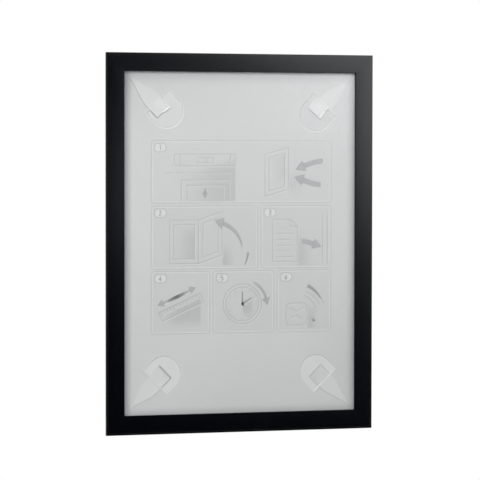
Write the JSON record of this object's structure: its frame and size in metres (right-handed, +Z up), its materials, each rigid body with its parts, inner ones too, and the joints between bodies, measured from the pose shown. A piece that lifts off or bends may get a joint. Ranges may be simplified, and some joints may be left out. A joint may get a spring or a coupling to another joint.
{
  "type": "magnetic display frame",
  "caption": "Flat wall frame for one sheet of paper, with adhesive strips behind a frosted panel and a black-bordered clear front that hinges open and is held shut by magnet strips.",
  "frame": {"origin": "on the wall's plane, behind the middle of the frame", "axes": "+X to the right seen from the front, +Y towards the wall, +Z up; the front faces -Y"},
  "size_m": [0.236, 0.0045, 0.323],
  "materials": {
    "black_plastic": "satin black moulded film",
    "clear_film": "clear, faintly hazy film",
    "frosted_panel": "frosted light grey sheet",
    "white_foam": "white stretch-release strip",
    "milky_film": "milky film",
    "steel_foil": "black-faced thin steel",
    "magnet_foil": "black-brown magnetic rubber",
    "hinge_film": "black folded film"
  },
  "bodies": {
    "rear": {"rear_panel": "frosted_panel", "adhesive_strip_top_left": "white_foam", "adhesive_strip_top_right": "white_foam", "adhesive_strip_bottom_left": "white_foam", "adhesive_strip_bottom_right": "white_foam", "pull_tab_top_left": "white_foam", "pull_tab_top_right": "white_foam", "pull_tab_bottom_left": "white_foam", "pull_tab_bottom_right": "white_foam", "grip_film_top_left": "milky_film", "grip_film_top_right": "milky_film", "grip_film_bottom_left": "milky_film", "grip_film_bottom_right": "milky_film", "steel_strip_top": "steel_foil", "steel_strip_bottom": "steel_foil", "steel_strip_right": "steel_foil", "steel_strip_hinge_side": "steel_foil", "hinge_leaf_rear": "hinge_film"},
    "cover": {"bezel": "black_plastic", "window_film": "clear_film", "magnet_strip_top": "magnet_foil", "magnet_strip_bottom": "magnet_foil", "magnet_strip_right": "magnet_foil", "magnet_strip_hinge_side": "magnet_foil", "hinge_leaf_cover": "hinge_film"}
  },
  "joints": [
    {"name": "cover_hinge", "type": "hinge", "parent": "rear", "child": "cover", "pos_m": [-0.118, -0.0025, 0], "axis": [0, 0, -1], "range_deg": [0, 180]}
  ]
}
